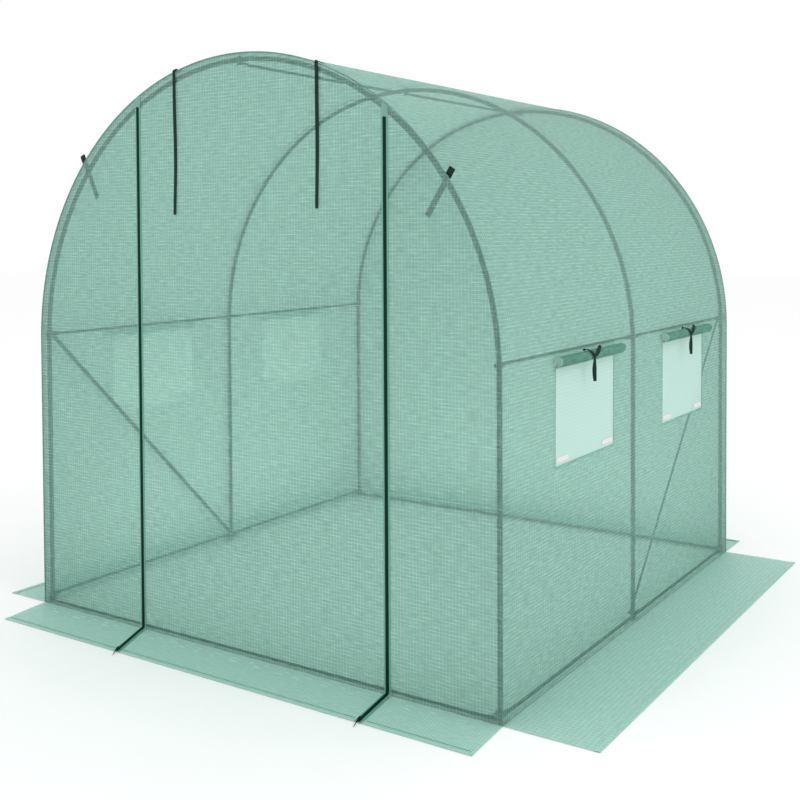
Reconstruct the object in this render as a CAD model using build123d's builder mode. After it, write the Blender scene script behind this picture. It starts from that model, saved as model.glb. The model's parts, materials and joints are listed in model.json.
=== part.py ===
"""Walk-in polytunnel greenhouse: a bolted tube frame under a reinforced sheet cover."""
import os
from math import cos, degrees, radians, sin, sqrt

from build123d import *

# Covered size over the sheet, in mm.
WIDTH = 2000.0
LENGTH = 2000.0
HEIGHT = 2000.0

# Sheet cover and its skirts on the ground.
SHEET = 2.0
SEAT_GAP = 0.3
LEFT_SKIRT = 200.0
RIGHT_SKIRT = 300.0
FRONT_SKIRT = 200.0
REAR_SKIRT = 200.0

# Hoop tube with its spigots, thinner bars with flattened ends, and flat braces.
TUBE_DIAMETER = 16.0
TUBE_WALL = 0.9
SPIGOT_FIT = 0.15
SPIGOT_LENGTH = 45.0
SOCKET_SPARE = 3.0
BAR_DIAMETER = 10.0
TAB_THICKNESS = 2.0
TAB_WIDTH = 16.0
TAB_REACH = 22.0
FLARE_LENGTH = 24.0
flare_end_share = 0.45
BRACE_WIDTH = 15.0
BRACE_THICKNESS = 2.0
BOLT_HOLE = 6.5

# Heights of the frame joints.
PURLIN_RISE = 28.0
SIDE_RAIL_Z = 26.0
END_RAIL_Z = 13.0

# Door between two zips.
DOOR_WIDTH = 1060.0
DOOR_SHIFT = 70.0
ZIP_TAPE = 24.0
ZIP_BEAD = 8.0
ZIP_BEAD_RISE = 2.0

# How far the ends of the front skirt and the zips on it drift to the right, out to its edge.
SKIRT_LEFT_DRIFT = 30.0
SKIRT_RIGHT_DRIFT = 15.0
ZIP_LEFT_DRIFT = 85.0
ZIP_RIGHT_DRIFT = 35.0

# Side windows, their screens and rolled flaps.
WINDOW_WIDTH = 440.0
WINDOW_HEIGHT = 305.0
WINDOW_TOP_DROP = 15.0
window_shares = (0.277, 0.737)
SCREEN = 1.5
SCREEN_LAP = 18.0
ROLL_DIAMETER = 37.0
ROLL_OVERHANG = 25.0
ROLL_RISE = 10.0

# Straps.
STRAP = 1.5
ROLL_TIE_WIDTH = 15.0
ROLL_TIE_TAIL = 62.0
DOOR_TIE_WIDTH = 13.0
DOOR_TIE_LENGTHS = {"left": 490.0, "right": 455.0}
DOOR_TIE_SPREAD = 620.0
DOOR_TIE_SHIFT = 34.0
HOOP_TIE_WIDTH = 18.0
HOOP_TIE_TAIL = 140.0
HOOP_TIE_TAB = 34.0
HOOP_TIE_LEFT_ANGLE = 41.5
HOOP_TIE_RIGHT_ANGLE = 35.0
HOOP_TIE_LEAN = 22.5

# Derived places: the origin is the middle of the whole footprint.
TUBE_RADIUS = TUBE_DIAMETER / 2
BORE_RADIUS = TUBE_RADIUS - TUBE_WALL
SPIGOT_RADIUS = BORE_RADIUS - SPIGOT_FIT
BAR_RADIUS = BAR_DIAMETER / 2
CENTRE_X = (LEFT_SKIRT - RIGHT_SKIRT) / 2
CENTRE_Y = (FRONT_SKIRT - REAR_SKIRT) / 2
HALF_WIDTH = WIDTH / 2
HALF_LENGTH = LENGTH / 2
SPRING_Z = HEIGHT - HALF_WIDTH
INNER_RADIUS = HALF_WIDTH - SHEET
END_RADIUS = INNER_RADIUS - SEAT_GAP
TUBE_INSET = SHEET + SEAT_GAP + BAR_DIAMETER + TUBE_RADIUS
HOOP_RADIUS = HALF_WIDTH - TUBE_INSET
HALF_BAYS = HALF_LENGTH - TUBE_INSET
HOOP_INSIDE = HOOP_RADIUS - TUBE_RADIUS
PURLIN_RADIUS = HOOP_INSIDE - SEAT_GAP - BAR_RADIUS
PURLIN_TILT = PURLIN_RISE / HOOP_RADIUS
BUTT_ARC = SPIGOT_LENGTH / 2 / HOOP_RADIUS
RAIL_OFFSET = TUBE_RADIUS + BAR_RADIUS
FRONT_Y = CENTRE_Y - HALF_LENGTH
REAR_Y = CENTRE_Y + HALF_LENGTH
LEFT_X = CENTRE_X - HALF_WIDTH
RIGHT_X = CENTRE_X + HALF_WIDTH
HOOP_YS = {
    "front": CENTRE_Y - HALF_BAYS,
    "mid": CENTRE_Y,
    "rear": CENTRE_Y + HALF_BAYS,
}
SIDES = {"left": -1, "right": 1}
WINDOW_TOP = SPRING_Z - WINDOW_TOP_DROP
WINDOW_Z = WINDOW_TOP - WINDOW_HEIGHT / 2
WINDOW_YS = [HOOP_YS["front"] + 2 * HALF_BAYS * share for share in window_shares]
ROLL_RADIUS = ROLL_DIAMETER / 2
ROLL_OUT = HALF_WIDTH + SEAT_GAP + STRAP + SEAT_GAP + ROLL_RADIUS
ROLL_Z = SPRING_Z + ROLL_RISE
ZIP_XS = {
    "left": CENTRE_X + DOOR_SHIFT - DOOR_WIDTH / 2,
    "right": CENTRE_X + DOOR_SHIFT + DOOR_WIDTH / 2,
}
ZIP_DRIFTS = {"left": ZIP_LEFT_DRIFT, "right": ZIP_RIGHT_DRIFT}

pieces = {}


def make_post(side, y, end_way):
    """One upright tube, open at the top for the arc's spigot, drilled for the rails' bolts."""
    post_x = CENTRE_X + side * HOOP_RADIUS
    drillings = [Plane(origin=(post_x, y, SIDE_RAIL_Z), z_dir=(1, 0, 0))]
    if end_way:
        drillings.append(Plane(origin=(post_x, y, END_RAIL_Z), z_dir=(0, 1, 0)))
    with BuildPart() as post:
        with BuildSketch(Plane.XY):
            with Locations((post_x, y)):
                Circle(TUBE_RADIUS)
                Circle(BORE_RADIUS, mode=Mode.SUBTRACT)
        extrude(amount=SPRING_Z)
        for drilling in drillings:
            with BuildSketch(drilling):
                Circle(BOLT_HOLE / 2)
            extrude(amount=TUBE_DIAMETER, both=True, mode=Mode.SUBTRACT)
    return post


def make_arc(side, y):
    """One side of a hoop: a spigot for the post, a plug or socket at the ridge, drilled for the purlins."""
    turn_axis = Axis((CENTRE_X, y, SPRING_Z), (0, -side, 0))
    over_axis = Axis((CENTRE_X, y, SPRING_Z), (0, 1, 0))
    out = Vector(side * cos(PURLIN_TILT), 0, sin(PURLIN_TILT))
    shoulder = Vector(CENTRE_X, y, SPRING_Z) + out * HOOP_RADIUS
    butt_x = CENTRE_X - HOOP_RADIUS * sin(BUTT_ARC)
    butt_z = SPRING_Z + HOOP_RADIUS * cos(BUTT_ARC)
    butt_plane = Plane(origin=(butt_x, y, butt_z), x_dir=(0, 1, 0), z_dir=(cos(BUTT_ARC), 0, sin(BUTT_ARC)))
    with BuildPart() as arc:
        with BuildSketch(Plane.XY.offset(SPRING_Z)):
            with Locations((CENTRE_X + side * HOOP_RADIUS, y)):
                Circle(TUBE_RADIUS)
        revolve(axis=turn_axis, revolution_arc=90 + side * degrees(BUTT_ARC))
        with BuildSketch(Plane.XY.offset(SPRING_Z - SPIGOT_LENGTH)):
            with Locations((CENTRE_X + side * HOOP_RADIUS, y)):
                Circle(SPIGOT_RADIUS)
        extrude(amount=SPIGOT_LENGTH)
        if side < 0:
            with BuildSketch(butt_plane):
                Circle(SPIGOT_RADIUS)
            revolve(axis=over_axis, revolution_arc=degrees(SPIGOT_LENGTH / HOOP_RADIUS))
        else:
            socket_arc = degrees((SPIGOT_LENGTH + SOCKET_SPARE) / HOOP_RADIUS)
            with BuildSketch(butt_plane):
                Circle(BORE_RADIUS)
            revolve(axis=over_axis, revolution_arc=socket_arc, mode=Mode.SUBTRACT)
        ridge = (CENTRE_X, y, SPRING_Z + HOOP_RADIUS)
        for drilling in (Plane(origin=shoulder, z_dir=out), Plane(origin=ridge)):
            with BuildSketch(drilling):
                Circle(BOLT_HOLE / 2)
            extrude(amount=TUBE_DIAMETER, both=True, mode=Mode.SUBTRACT)
    return arc


def make_strut(span, start_seat, end_seat):
    """A bar along X with flattened, drilled ends; a seat is how high the tab's face is over the axis."""
    round_from = TAB_REACH + FLARE_LENGTH
    with BuildPart() as strut:
        with BuildSketch(Plane.YZ.offset(round_from)):
            Circle(BAR_RADIUS)
        extrude(amount=span - 2 * round_from)
        for bolt_x, way, seat in ((0, 1, start_seat), (span, -1, end_seat)):
            with BuildSketch(Plane.YZ.offset(bolt_x + way * TAB_REACH)):
                with Locations((0, seat - TAB_THICKNESS / 2)):
                    Ellipse(TAB_WIDTH / 2, TAB_THICKNESS * flare_end_share)
            with BuildSketch(Plane.YZ.offset(bolt_x + way * round_from)):
                Circle(BAR_RADIUS)
            loft()
            with BuildSketch(Plane.XY.offset(seat - TAB_THICKNESS)):
                with Locations((bolt_x, 0)):
                    Circle(TAB_WIDTH / 2)
                with Locations((bolt_x + way * TAB_REACH / 2, 0)):
                    Rectangle(TAB_REACH, TAB_WIDTH)
                with Locations((bolt_x, 0)):
                    Circle(BOLT_HOLE / 2, mode=Mode.SUBTRACT)
            extrude(amount=TAB_THICKNESS)
    return strut


def place_strut(start, end, normal, start_seat=BAR_RADIUS):
    """A bar from bolt to bolt with its tabs facing along the normal."""
    run = Vector(end) - Vector(start)
    strut = make_strut(run.length, start_seat, BAR_RADIUS)
    seat = Plane(origin=start, x_dir=run, z_dir=normal)
    with BuildPart() as placed:
        with Locations(seat.location):
            add(strut.part)
    return placed


def make_brace(head, foot, outward):
    """A flat bar from bolt to bolt; the two places are on its outer face."""
    run = Vector(foot) - Vector(head)
    face = run.cross(Vector(outward).cross(run))
    with BuildPart() as brace:
        with BuildSketch(Plane(origin=head, x_dir=run, z_dir=face)):
            with Locations((run.length / 2, 0)):
                SlotCenterToCenter(run.length, BRACE_WIDTH)
            with Locations((0, 0), (run.length, 0)):
                Circle(BOLT_HOLE / 2, mode=Mode.SUBTRACT)
        extrude(amount=-BRACE_THICKNESS)
    return brace


def make_bays(name, x, z, normal):
    """Two bars over the two bays, their tabs stacked at the middle hoop."""
    front = (x, HOOP_YS["front"], z)
    middle = (x, HOOP_YS["mid"], z)
    rear = (x, HOOP_YS["rear"], z)
    pieces[name + "_front"] = place_strut(front, middle, normal)
    pieces[name + "_rear"] = place_strut(middle, rear, normal, start_seat=BAR_RADIUS - TAB_THICKNESS)


def make_end_sheet(x_from, x_to, y_inner, way):
    """A strip of an end wall under the arch, from its inner face outwards."""
    with BuildPart() as sheet:
        with BuildSketch(Plane.XZ.offset(-y_inner)):
            with Locations((CENTRE_X, SPRING_Z)):
                Circle(END_RADIUS)
            with Locations((CENTRE_X, SPRING_Z / 2)):
                Rectangle(2 * END_RADIUS, SPRING_Z)
            with Locations(((x_from + x_to) / 2, HEIGHT / 2)):
                Rectangle(x_to - x_from, HEIGHT, mode=Mode.INTERSECT)
        extrude(amount=way * SHEET)
    return sheet


def make_wall(side):
    """One side wall with its two window openings."""
    with BuildPart() as wall:
        with BuildSketch(Plane.YZ.offset(CENTRE_X + side * INNER_RADIUS)):
            with Locations((CENTRE_Y, SPRING_Z / 2)):
                Rectangle(LENGTH, SPRING_Z)
            for y in WINDOW_YS:
                with Locations((y, WINDOW_Z)):
                    Rectangle(WINDOW_WIDTH, WINDOW_HEIGHT, mode=Mode.SUBTRACT)
        extrude(amount=side * SHEET)
    return wall


def make_screens(side):
    """Insect screens lapped behind the window openings."""
    with BuildPart() as screens:
        with BuildSketch(Plane.YZ.offset(CENTRE_X + side * (INNER_RADIUS - SEAT_GAP))):
            for y in WINDOW_YS:
                with Locations((y, WINDOW_Z)):
                    Rectangle(WINDOW_WIDTH + 2 * SCREEN_LAP, WINDOW_HEIGHT + 2 * SCREEN_LAP)
        extrude(amount=-side * SCREEN)
    return screens


def make_rolls(side):
    """Window flaps rolled up over the openings."""
    roll_length = WINDOW_WIDTH + 2 * ROLL_OVERHANG
    with BuildPart() as rolls:
        for y in WINDOW_YS:
            with BuildSketch(Plane.XZ.offset(-y)):
                with Locations((CENTRE_X + side * ROLL_OUT, ROLL_Z)):
                    Circle(ROLL_RADIUS)
            extrude(amount=roll_length / 2, both=True)
    return rolls


def make_ground_sheet(x_from, x_to, y_from, y_to):
    """A skirt lying flat on the ground."""
    with BuildPart() as skirt:
        with BuildSketch(Plane.XY):
            with Locations(((x_from + x_to) / 2, (y_from + y_to) / 2)):
                Rectangle(x_to - x_from, y_to - y_from)
        extrude(amount=SHEET)
    return skirt


def make_front_strip(x_from, x_to, drift_from, drift_to, low_z, thickness):
    """A strip of the front skirt from the wall out to its edge, its two sides drifting as it goes."""
    edge_y = FRONT_Y - FRONT_SKIRT
    corners = (
        (x_from, FRONT_Y),
        (x_to, FRONT_Y),
        (x_to + drift_to, edge_y),
        (x_from + drift_from, edge_y),
    )
    with BuildPart() as strip:
        with BuildSketch(Plane.XY.offset(low_z)):
            Polygon(*corners, align=None)
        extrude(amount=thickness)
    return strip


def make_zip(x, drift):
    """A zip up the front wall that runs on over the front skirt."""
    bead_top = SPRING_Z + sqrt(HOOP_INSIDE**2 - (x - CENTRE_X) ** 2)
    half_tape = ZIP_TAPE / 2
    half_bead = ZIP_BEAD / 2
    tape = make_end_sheet(x - half_tape, x + half_tape, FRONT_Y + SHEET, 1)
    ground = make_front_strip(x - half_tape, x + half_tape, drift, drift, 0, SHEET)
    ground_bead = make_front_strip(x - half_bead, x + half_bead, drift, drift, SHEET, ZIP_BEAD_RISE)
    with BuildPart() as zipper:
        add(tape.part)
        add(ground.part)
        add(ground_bead.part)
        with BuildSketch(Plane.XZ.offset(-FRONT_Y)):
            with Locations((x, bead_top / 2)):
                Rectangle(ZIP_BEAD, bead_top)
        extrude(amount=ZIP_BEAD_RISE)
    return zipper


# Hoops.
for bay, hoop_y in HOOP_YS.items():
    for side_name, side in SIDES.items():
        pieces[bay + "_" + side_name + "_post"] = make_post(side, hoop_y, bay != "mid")
        pieces[bay + "_" + side_name + "_arc"] = make_arc(side, hoop_y)

# Purlins sit against the inner side of the hoops.
make_bays("ridge_purlin", CENTRE_X, SPRING_Z + PURLIN_RADIUS, (0, 0, 1))
for side_name, side in SIDES.items():
    out = (side * cos(PURLIN_TILT), 0, sin(PURLIN_TILT))
    purlin_x = CENTRE_X + PURLIN_RADIUS * out[0]
    make_bays(side_name + "_purlin", purlin_x, SPRING_Z + PURLIN_RADIUS * out[2], out)

# Ground rails sit against the outer side of the posts and carry the foot of the cover.
for side_name, side in SIDES.items():
    rail_x = CENTRE_X + side * (HOOP_RADIUS + RAIL_OFFSET)
    make_bays(side_name + "_rail", rail_x, SIDE_RAIL_Z, (-side, 0, 0))
for end_name, way in (("front", -1), ("rear", 1)):
    rail_y = HOOP_YS[end_name] + way * RAIL_OFFSET
    pieces[end_name + "_rail"] = place_strut(
        (CENTRE_X - HOOP_RADIUS, rail_y, END_RAIL_Z),
        (CENTRE_X + HOOP_RADIUS, rail_y, END_RAIL_Z),
        (0, -way, 0),
    )

# Diagonal braces, one in a bay on each side: the head shares a purlin's bolt, the foot a rail's.
tab_inside = PURLIN_RADIUS + BAR_RADIUS - TAB_THICKNESS
brace_head_radius = tab_inside - SEAT_GAP - TAB_WIDTH / 2 * sin(PURLIN_TILT)
for side_name, head_bay in (("left", "front"), ("right", "rear")):
    side = SIDES[side_name]
    head_x = CENTRE_X + side * brace_head_radius * cos(PURLIN_TILT)
    head_z = SPRING_Z + brace_head_radius * sin(PURLIN_TILT)
    foot_x = CENTRE_X + side * (HOOP_INSIDE - SEAT_GAP)
    pieces[side_name + "_brace"] = make_brace(
        (head_x, HOOP_YS[head_bay], head_z),
        (foot_x, HOOP_YS["mid"], SIDE_RAIL_Z),
        (side, 0, 0),
    )

# Barrel roof.
with BuildPart() as roof_cover:
    with BuildSketch(Plane.XZ.offset(-REAR_Y)):
        with Locations((CENTRE_X, SPRING_Z)):
            Circle(HALF_WIDTH)
            Circle(INNER_RADIUS, mode=Mode.SUBTRACT)
        with Locations((CENTRE_X, SPRING_Z - HALF_WIDTH)):
            Rectangle(2 * WIDTH, WIDTH, mode=Mode.SUBTRACT)
    extrude(amount=LENGTH)
pieces["roof_cover"] = roof_cover

# Side walls with their windows.
for side_name, side in SIDES.items():
    pieces[side_name + "_wall"] = make_wall(side)
    pieces[side_name + "_screens"] = make_screens(side)
    pieces[side_name + "_rolls"] = make_rolls(side)

# End walls; the front one is parted by the zips.
panel_left = CENTRE_X - END_RADIUS
panel_right = CENTRE_X + END_RADIUS
front_inner = FRONT_Y + SHEET
half_tape = ZIP_TAPE / 2
door_left = ZIP_XS["left"] + half_tape
door_right = ZIP_XS["right"] - half_tape
pieces["front_left_panel"] = make_end_sheet(panel_left, ZIP_XS["left"] - half_tape, front_inner, 1)
pieces["door_panel"] = make_end_sheet(door_left, door_right, front_inner, 1)
pieces["front_right_panel"] = make_end_sheet(ZIP_XS["right"] + half_tape, panel_right, front_inner, 1)
pieces["rear_panel"] = make_end_sheet(panel_left, panel_right, REAR_Y - SHEET, -1)
for zip_name, zip_x in ZIP_XS.items():
    pieces[zip_name + "_zip"] = make_zip(zip_x, ZIP_DRIFTS[zip_name])

# Skirts, open at the corners.
pieces["left_skirt"] = make_ground_sheet(LEFT_X - LEFT_SKIRT, LEFT_X, FRONT_Y, REAR_Y)
pieces["right_skirt"] = make_ground_sheet(RIGHT_X, RIGHT_X + RIGHT_SKIRT, FRONT_Y, REAR_Y)
pieces["rear_skirt"] = make_ground_sheet(LEFT_X, RIGHT_X, REAR_Y, REAR_Y + REAR_SKIRT)
front_strips = (
    (LEFT_X, ZIP_XS["left"] - half_tape, SKIRT_LEFT_DRIFT, ZIP_LEFT_DRIFT),
    (door_left, door_right, ZIP_LEFT_DRIFT, ZIP_RIGHT_DRIFT),
    (ZIP_XS["right"] + half_tape, RIGHT_X, ZIP_RIGHT_DRIFT, SKIRT_RIGHT_DRIFT),
)
with BuildPart() as front_skirt:
    for strip in front_strips:
        add(make_front_strip(*strip, 0, SHEET).part)
pieces["front_skirt"] = front_skirt

# Ties round the rolled flaps, each with a hanging tail.
tie_bore = ROLL_RADIUS + SEAT_GAP
with BuildPart() as window_ties:
    for side in SIDES.values():
        for y in WINDOW_YS:
            with BuildSketch(Plane.XZ.offset(-y)):
                with Locations((CENTRE_X + side * ROLL_OUT, ROLL_Z)):
                    Circle(tie_bore + STRAP)
                tail_x = CENTRE_X + side * (ROLL_OUT + tie_bore + STRAP / 2)
                tail_length = ROLL_RADIUS + ROLL_TIE_TAIL
                with Locations((tail_x, ROLL_Z - tail_length / 2)):
                    Rectangle(STRAP, tail_length)
                with Locations((CENTRE_X + side * ROLL_OUT, ROLL_Z)):
                    Circle(tie_bore, mode=Mode.SUBTRACT)
            extrude(amount=ROLL_TIE_WIDTH / 2, both=True)
pieces["window_ties"] = window_ties

# Long ties hanging outside the door from the front seam.
with BuildPart() as door_ties:
    with BuildSketch(Plane.XZ.offset(-(FRONT_Y - SEAT_GAP))):
        for side_name, side in SIDES.items():
            tie_length = DOOR_TIE_LENGTHS[side_name]
            tie_out = DOOR_TIE_SHIFT + side * DOOR_TIE_SPREAD / 2
            tie_top = SPRING_Z + sqrt(END_RADIUS**2 - (abs(tie_out) + DOOR_TIE_WIDTH) ** 2)
            with Locations((CENTRE_X + tie_out, tie_top - tie_length / 2)):
                Rectangle(DOOR_TIE_WIDTH, tie_length)
    extrude(amount=STRAP)
pieces["door_ties"] = door_ties

# Short ties at the front hoop: a tab outside the roof and a tail that passes the hoop inside.
tie_y = HOOP_YS["front"] - TUBE_RADIUS - SEAT_GAP
tie_turns = {"left": radians(HOOP_TIE_LEFT_ANGLE), "right": radians(HOOP_TIE_RIGHT_ANGLE)}
with BuildPart() as hoop_ties:
    with BuildSketch(Plane.XZ.offset(-tie_y)):
        for side_name, side in SIDES.items():
            angle = tie_turns[side_name]
            lean = angle + radians(HOOP_TIE_LEAN)
            mid_out = (HOOP_TIE_TAB - HOOP_TIE_TAIL) / 2
            mid_x = CENTRE_X + side * (HALF_WIDTH * cos(angle) + cos(lean) * mid_out)
            mid_z = SPRING_Z + HALF_WIDTH * sin(angle) + sin(lean) * mid_out
            with Locations((mid_x, mid_z)):
                Rectangle(HOOP_TIE_TAB + HOOP_TIE_TAIL, HOOP_TIE_WIDTH, rotation=side * degrees(lean))
        with Locations((CENTRE_X, SPRING_Z)):
            Circle(HALF_WIDTH + SEAT_GAP, mode=Mode.SUBTRACT)
        for side_name, side in SIDES.items():
            angle = tie_turns[side_name]
            lean = angle + radians(HOOP_TIE_LEAN)
            tail_x = CENTRE_X + side * (END_RADIUS * cos(angle) - cos(lean) * HOOP_TIE_TAIL / 2)
            tail_z = SPRING_Z + END_RADIUS * sin(angle) - sin(lean) * HOOP_TIE_TAIL / 2
            with Locations((tail_x, tail_z)):
                Rectangle(HOOP_TIE_TAIL - HOOP_TIE_WIDTH, HOOP_TIE_WIDTH, rotation=side * degrees(lean))
    extrude(amount=STRAP)
pieces["hoop_ties"] = hoop_ties

os.makedirs("parts", exist_ok=True)
for name, piece in pieces.items():
    piece.part.label = name
    export_step(piece.part, "parts/" + name + ".step")
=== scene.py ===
"""Walk-in polytunnel greenhouse: cover, zips, rolled flaps, straps and bolts over the tube frame."""

import json
import math
import random

import bpy
from mathutils import Matrix, Vector, noise

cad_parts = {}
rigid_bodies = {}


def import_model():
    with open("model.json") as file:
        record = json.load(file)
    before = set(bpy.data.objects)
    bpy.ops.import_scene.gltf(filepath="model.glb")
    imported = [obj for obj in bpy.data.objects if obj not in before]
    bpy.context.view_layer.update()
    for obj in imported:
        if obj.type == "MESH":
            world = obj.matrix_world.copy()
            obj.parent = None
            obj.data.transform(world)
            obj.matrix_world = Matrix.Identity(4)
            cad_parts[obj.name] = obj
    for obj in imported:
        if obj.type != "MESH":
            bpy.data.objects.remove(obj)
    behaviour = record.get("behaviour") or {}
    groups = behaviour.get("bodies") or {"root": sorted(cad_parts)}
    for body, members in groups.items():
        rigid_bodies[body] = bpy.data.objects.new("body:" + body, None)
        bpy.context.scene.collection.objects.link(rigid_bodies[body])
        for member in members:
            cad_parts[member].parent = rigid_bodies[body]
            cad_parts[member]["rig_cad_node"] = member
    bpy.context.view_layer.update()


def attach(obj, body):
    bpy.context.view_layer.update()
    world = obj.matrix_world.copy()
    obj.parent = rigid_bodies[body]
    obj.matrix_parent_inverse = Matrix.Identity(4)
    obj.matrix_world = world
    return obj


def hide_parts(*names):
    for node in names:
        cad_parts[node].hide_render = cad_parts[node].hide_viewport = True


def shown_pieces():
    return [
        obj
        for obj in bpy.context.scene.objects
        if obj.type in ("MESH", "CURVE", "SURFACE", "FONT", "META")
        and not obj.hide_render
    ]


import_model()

# Covered space, in metres.
CENTRE_X = -0.05
FRONT_Y = -1.0
REAR_Y = 1.0
SPRING_Z = 1.0
OUTER_RADIUS = 1.0
SHEET_RADIUS = 0.999
COVER_RUN = 2 * SPRING_Z + math.pi * SHEET_RADIUS
END_RADIUS = 0.9975
END_DEPTH = 0.001
SHEET_STEP = 0.03
SAG = 0.003
CREASE = 0.0012
END_CREASE = 0.004
CREASE_SCALE = 4.0
FINE_CREASE_SCALE = 13.0
fine_crease_share = 0.4
END_ROWS = 48
END_COLUMNS = 8

# Frame of tubes, bars and flat braces.
HOOP_RADIUS = 0.9797
HOOP_INSIDE = 0.9717
TUBE_RADIUS = 0.008
HOOP_YS = (-0.9797, 0.0, 0.9797)
PURLIN_TILT = 0.02858
SIDE_RAIL_Z = 0.026
END_RAIL_Z = 0.013

# Skirts on the ground; the drifts are how far the front one slants to the right.
LEFT_SKIRT = 0.2
RIGHT_SKIRT = 0.3
END_SKIRT = 0.2
SKIRT_LEFT_DRIFT = 0.03
SKIRT_RIGHT_DRIFT = 0.015
SKIRT_Z = 0.0012
SKIRT_STEP = 0.05
SKIRT_ROWS = 8
SKIRT_RIPPLE = 0.0008
RIPPLE_SCALES = (3.0, 8.0)
HEM = 0.02
HEM_RISE = 0.0014
HEM_TURN = 0.0004

# Windows, screens and rolled flaps.
WINDOW_YS = (-0.43695, 0.46438)
WINDOW_WIDTH = 0.44
WINDOW_LOW = 0.68
WINDOW_HIGH = 0.985
SCREEN_LAP = 0.008
SCREEN_BEHIND = 0.0018
SCREEN_SAG = 0.003
ROLL_OUT = 1.0206
ROLL_Z = 1.010
ROLL_RADIUS = 0.0183
ROLL_CORE = 0.005
ROLL_TURNS = 4.25
ROLL_LENGTH = 0.49
ROLL_HANG = 0.006
HANG_STEPS = 4
ROLL_STEPS = 30
ROLL_SLICE = 0.014
ROLL_END = 0.012
ROLL_WAIST = 0.018
roll_end_share = 0.2
roll_waist_share = 0.14
roll_uneven_share = 0.05
ROLL_UNEVEN_SCALE = 14.0
CAP_RINGS = 7
CAP_SECTORS = 28
CAP_GROOVE = 0.0006
CAP_PROUD = 0.0014
PATCH_WIDTH = 0.084
PATCH_HEIGHT = 0.016
PATCH_THICKNESS = 0.0012
PATCH_SIDE_GAP = 0.008
PATCH_LOW_GAP = 0.01
PATCH_POINTS = 24
patch_round_share = 0.4

# Zips beside the door.
ZIP_XS = {"left": -0.51, "right": 0.55}
ZIP_DRIFTS = {"left": 0.085, "right": 0.035}
ZIP_TAPE = 0.024
ZIP_TAPE_THICK = 0.0014
ZIP_LAP = 0.002
ZIP_COIL = 0.0112
ZIP_COIL_THICK = 0.0018
ZIP_FACE_Y = -1.0012
ZIP_FLOOR_Z = 0.0044
ZIP_BEND = 0.007
ZIP_BEND_STEPS = 6
ZIP_STEP = 0.04
TOOTH_WIDTH = 0.0056
TOOTH_LENGTH = 0.0027
TOOTH_HEIGHT = 0.001
TOOTH_PITCH = 0.0034
TOOTH_OFFSET = 0.0018
SLIDER_BACK = 0.014
SLIDER_WIDTH = 0.012
SLIDER_LENGTH = 0.018
SLIDER_HEIGHT = 0.0044
SLIDER_RISE = 0.0026
PULL_RADIUS = 0.0017
ZIP_TAIL = 0.03
PULL_SIDES = 8
slider_waist_share = 1 / 3
slider_neck_share = 2 / 3
pull_shares = ((0.0, 0.6), (0.3, 1.0), (0.7, 0.8), (1.0, 0.3))

# Straps.
STRAP = 0.0014
DOOR_TIE_WIDTH = 0.013
DOOR_TIES = ((-0.326, 0.49), (0.294, 0.455))
DOOR_TIE_STEPS = 24
DOOR_TIE_SWAY = 0.002
DOOR_TIE_STAND = 0.0045
SWAY_TURN = 5.0
STAND_TURN = 7.0
TWIST_TURN = 4.0
tie_twist_share = 0.12
DOOR_TIE_FOLD = ((0.03, 0.0015), (0.012, 0.004), (-0.001, 0.0065), (-0.0055, 0.003), (-0.006, -0.008))
HOOP_TIE_WIDTH = 0.0195
HOOP_TIE_TABS = {-1: 0.034, 1: 0.026}
HOOP_TIE_TAIL = 0.14
HOOP_TIE_LOOP = 0.0045
HOOP_TIE_GAP = 0.0016
HOOP_TIE_ANGLES = {-1: 41.5, 1: 35.0}
HOOP_TIE_LEAN = 22.5
HOOP_TIE_STEPS = 8
ROLL_TIE_WIDTH = 0.015
ROLL_TIE_ARM = 0.012
ROLL_TIE_ARMS = {-1: 0.035, 1: 0.085}
ROLL_TIE_SHIFT = -0.02
ROLL_TIE_TAIL = 0.06
ROLL_TIE_STAND = 0.0022
ROLL_TIE_TOP = 100.0
ROLL_TIE_MEET = -18.0
ROLL_TIE_STEPS = 12
ROLL_TIE_CURL = 0.005
ARM_CURVE = 1.2
CURL_CURVE = 3
tail_turn_share = 0.75
tail_width_share = 0.75
KNOB_RADIUS = 0.0045
KNOB_STEPS = 5
KNOB_SIDES = 10
knob_shares = (0.15, 0.85)

# Bolts, wing nuts, raised skirt threads painted pale as a glint, hem lines and edge seams.
BOLT_RADIUS = 0.003
NUT_RADIUS = 0.0058
NUT_HEIGHT = 0.003
NUT_NECK_RADIUS = 0.00435
NUT_NECK_HEIGHT = 0.00602
NUT_SIDES = 16
STEM_PROUD = 0.00688
STEM_SIDES = 12
WING_THICK = 0.0022
WING_LOW = ((0.00232, 0.001), (0.00775, 0.001), (0.0125, 0.00473))
WING_HIGH = ((0.011875, 0.0086), (0.00875, 0.0086), (0.00232, 0.00516))
CAP_BASE = 0.00261
CAP_SIDES = 6
DOME_RADIUS = 0.00493
DOME_RISE = 0.00319
DOME_STEPS = 5
TUBE_SEAT = 0.0084
TAB_SEAT = 0.0104
PAIR_SEAT = 0.0124
BRACE_SEAT = 0.0131
GLINT_AND_HEM_THREAD_RADIUS = 0.0008
# Rows of raised skirt threads, pale as a painted glint.
GLINT_THREAD_DEPTHS = (0.033, 0.052)
GLINT_THREAD_LENGTHS = (0.014, 0.042)
GLINT_THREAD_GAPS = (0.03, 0.085)
GLINT_THREAD_RISE = 0.0016
glint_thread_shares = ((0.0, 0.2), (0.15, 1.0), (0.85, 1.0), (1.0, 0.2))
HEM_MARGIN = 0.012
HEM_LINE_Z = 0.0036
SEAM_RADIUS = 0.0022
SEAM_STEP = 0.025
SEAM_SIDES = 8
SEAM_FOOT = 0.004

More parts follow.
